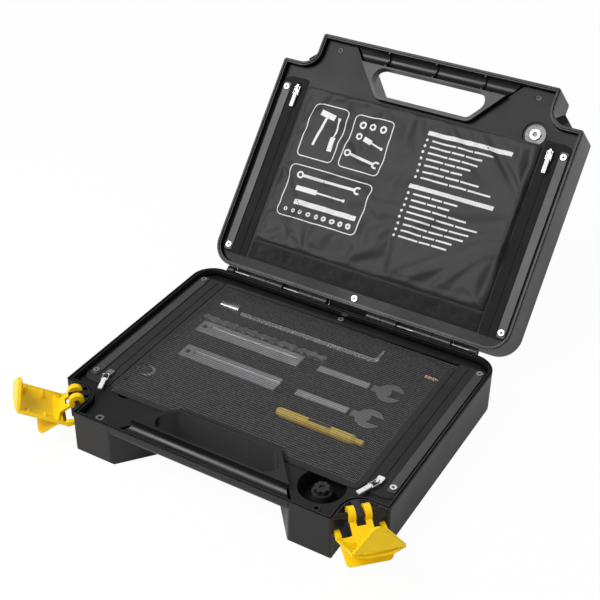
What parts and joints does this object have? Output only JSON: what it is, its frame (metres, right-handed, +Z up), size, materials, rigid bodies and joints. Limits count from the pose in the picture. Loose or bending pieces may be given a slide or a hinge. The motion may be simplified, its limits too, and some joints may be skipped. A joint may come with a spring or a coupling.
{
  "type": "hard tool case",
  "caption": "Moulded hard tool case with an open hinged lid, corner latches, a moulded handle, zipped mesh over tools in the base and a zipped pouch in the lid.",
  "frame": {"origin": "centre of the base's flat underside", "axes": "+Z up, -Y towards the handle, +X to the right as seen from the handle"},
  "size_m": [0.451, 0.5849, 0.2781],
  "materials": {
    "shell": "black satin moulded plastic with a fine texture",
    "liner": "matte charcoal plastic sheet",
    "foam": "soft black foam block",
    "mesh": "black knitted net with a bound edge",
    "zip_tape": "black woven zip tape",
    "strip": "mid-grey plastic strip",
    "bright_steel": "bright steel",
    "tool_steel": "dull plated steel",
    "chain_steel": "dark oiled steel",
    "yellow_plastic": "yellow plastic",
    "black_rubber": "black rubber",
    "brass": "brass",
    "black_steel": "blackened screw",
    "latch": "golden yellow satin plastic",
    "zinc": "plated die-cast zinc",
    "pull_tab": "white plastic",
    "pouch": "dark grey twill cloth with a light printed panel",
    "drape": "loose black cloth"
  },
  "bodies": {
    "base": {"base_shell": "shell", "base_liner": "liner", "tool_tray": "foam", "base_band_left": "zip_tape", "base_band_right": "zip_tape", "base_strip_left": "strip", "base_strip_right": "strip", "base_rivets": "bright_steel", "corner_bushes": "bright_steel", "knob_post": "black_rubber", "lobed_knob": "black_rubber", "wrench_rear": "tool_steel", "wrench_front": "tool_steel", "hex_key": "bright_steel", "chain": "chain_steel", "spindle_tool": "yellow_plastic", "spindle_grip": "black_rubber", "ring_spacer": "bright_steel", "socket_tool": "bright_steel", "bit_tip": "brass", "hinge_pins": "bright_steel"},
    "mesh_flap": {"mesh_panel": "mesh"},
    "lid": {"lid_shell": "shell", "lid_liner": "liner", "lid_drape": "drape", "lid_band_left": "zip_tape", "lid_band_right": "zip_tape", "lid_strip_left": "strip", "lid_strip_right": "strip", "lid_rivets": "bright_steel", "lid_screws": "black_steel", "lid_disc": "bright_steel", "lid_disc_ring": "bright_steel"},
    "lid_flap": {"lid_pouch": "pouch"},
    "left_latch": {"latch_left": "latch"},
    "right_latch": {"latch_right": "latch"},
    "base_left_slider": {"base_slider_left": "zinc"},
    "base_left_pull": {"base_bail_left": "zinc", "base_tab_left": "pull_tab"},
    "base_right_slider": {"base_slider_right": "zinc"},
    "base_right_pull": {"base_bail_right": "zinc", "base_tab_right": "pull_tab"},
    "lid_left_slider": {"lid_slider_left": "zinc"},
    "lid_left_pull": {"lid_bail_left": "zinc", "lid_tab_left": "pull_tab"},
    "lid_right_slider": {"lid_slider_right": "zinc"},
    "lid_right_pull": {"lid_bail_right": "zinc", "lid_tab_right": "pull_tab"}
  },
  "joints": [
    {"name": "lid_hinge", "type": "hinge", "parent": "base", "child": "lid", "pos_m": [0, 0.1565, 0.048], "axis": [1, 0, 0], "range_deg": [0, 131.2]},
    {"name": "left_latch_hinge", "type": "hinge", "parent": "base", "child": "left_latch", "pos_m": [-0.1652, -0.1262, 0.0473], "axis": [-0.7071, 0.7071, 0], "range_deg": [0, 74]},
    {"name": "right_latch_hinge", "type": "hinge", "parent": "base", "child": "right_latch", "pos_m": [0.1652, -0.1262, 0.0473], "axis": [-0.7071, -0.7071, 0], "range_deg": [0, 74]},
    {"name": "mesh_flap_fold", "type": "hinge", "parent": "base", "child": "mesh_flap", "pos_m": [0, 0.1374, 0.0431], "axis": [1, 0, 0], "range_deg": [-75, 0]},
    {"name": "lid_flap_fold", "type": "hinge", "parent": "lid", "child": "lid_flap", "pos_m": [0, 0.18873, 0.08026], "axis": [-1, 0, 0], "range_deg": [-40, 0]},
    {"name": "base_left_zip", "type": "slide", "parent": "base", "child": "base_left_slider", "axis": [0, 1, 0], "range_m": [0, 0.19]},
    {"name": "base_left_pull_fold", "type": "hinge", "parent": "base_left_slider", "child": "base_left_pull", "pos_m": [-0.161, -0.08, 0.04725], "axis": [0.9336, 0.3584, 0], "range_deg": [-80, 0]},
    {"name": "base_right_zip", "type": "slide", "parent": "base", "child": "base_right_slider", "axis": [0, 1, 0], "range_m": [0, 0.19]},
    {"name": "base_right_pull_fold", "type": "hinge", "parent": "base_right_slider", "child": "base_right_pull", "pos_m": [0.161, -0.08, 0.04725], "axis": [0.9336, -0.3584, 0], "range_deg": [-80, 0]},
    {"name": "lid_left_zip", "type": "slide", "parent": "lid", "child": "lid_left_slider", "axis": [0, -0.6587, -0.7524], "range_m": [0, 0.19]},
    {"name": "lid_left_pull_fold", "type": "hinge", "parent": "lid_left_slider", "child": "lid_left_pull", "pos_m": [-0.161, 0.31585, 0.22282], "axis": [1, 0, 0], "range_deg": [-80, 0]},
    {"name": "lid_right_zip", "type": "slide", "parent": "lid", "child": "lid_right_slider", "axis": [0, -0.6587, -0.7524], "range_m": [0, 0.19]},
    {"name": "lid_right_pull_fold", "type": "hinge", "parent": "lid_right_slider", "child": "lid_right_pull", "pos_m": [0.161, 0.31585, 0.22282], "axis": [1, 0, 0], "range_deg": [-80, 0]}
  ]
}
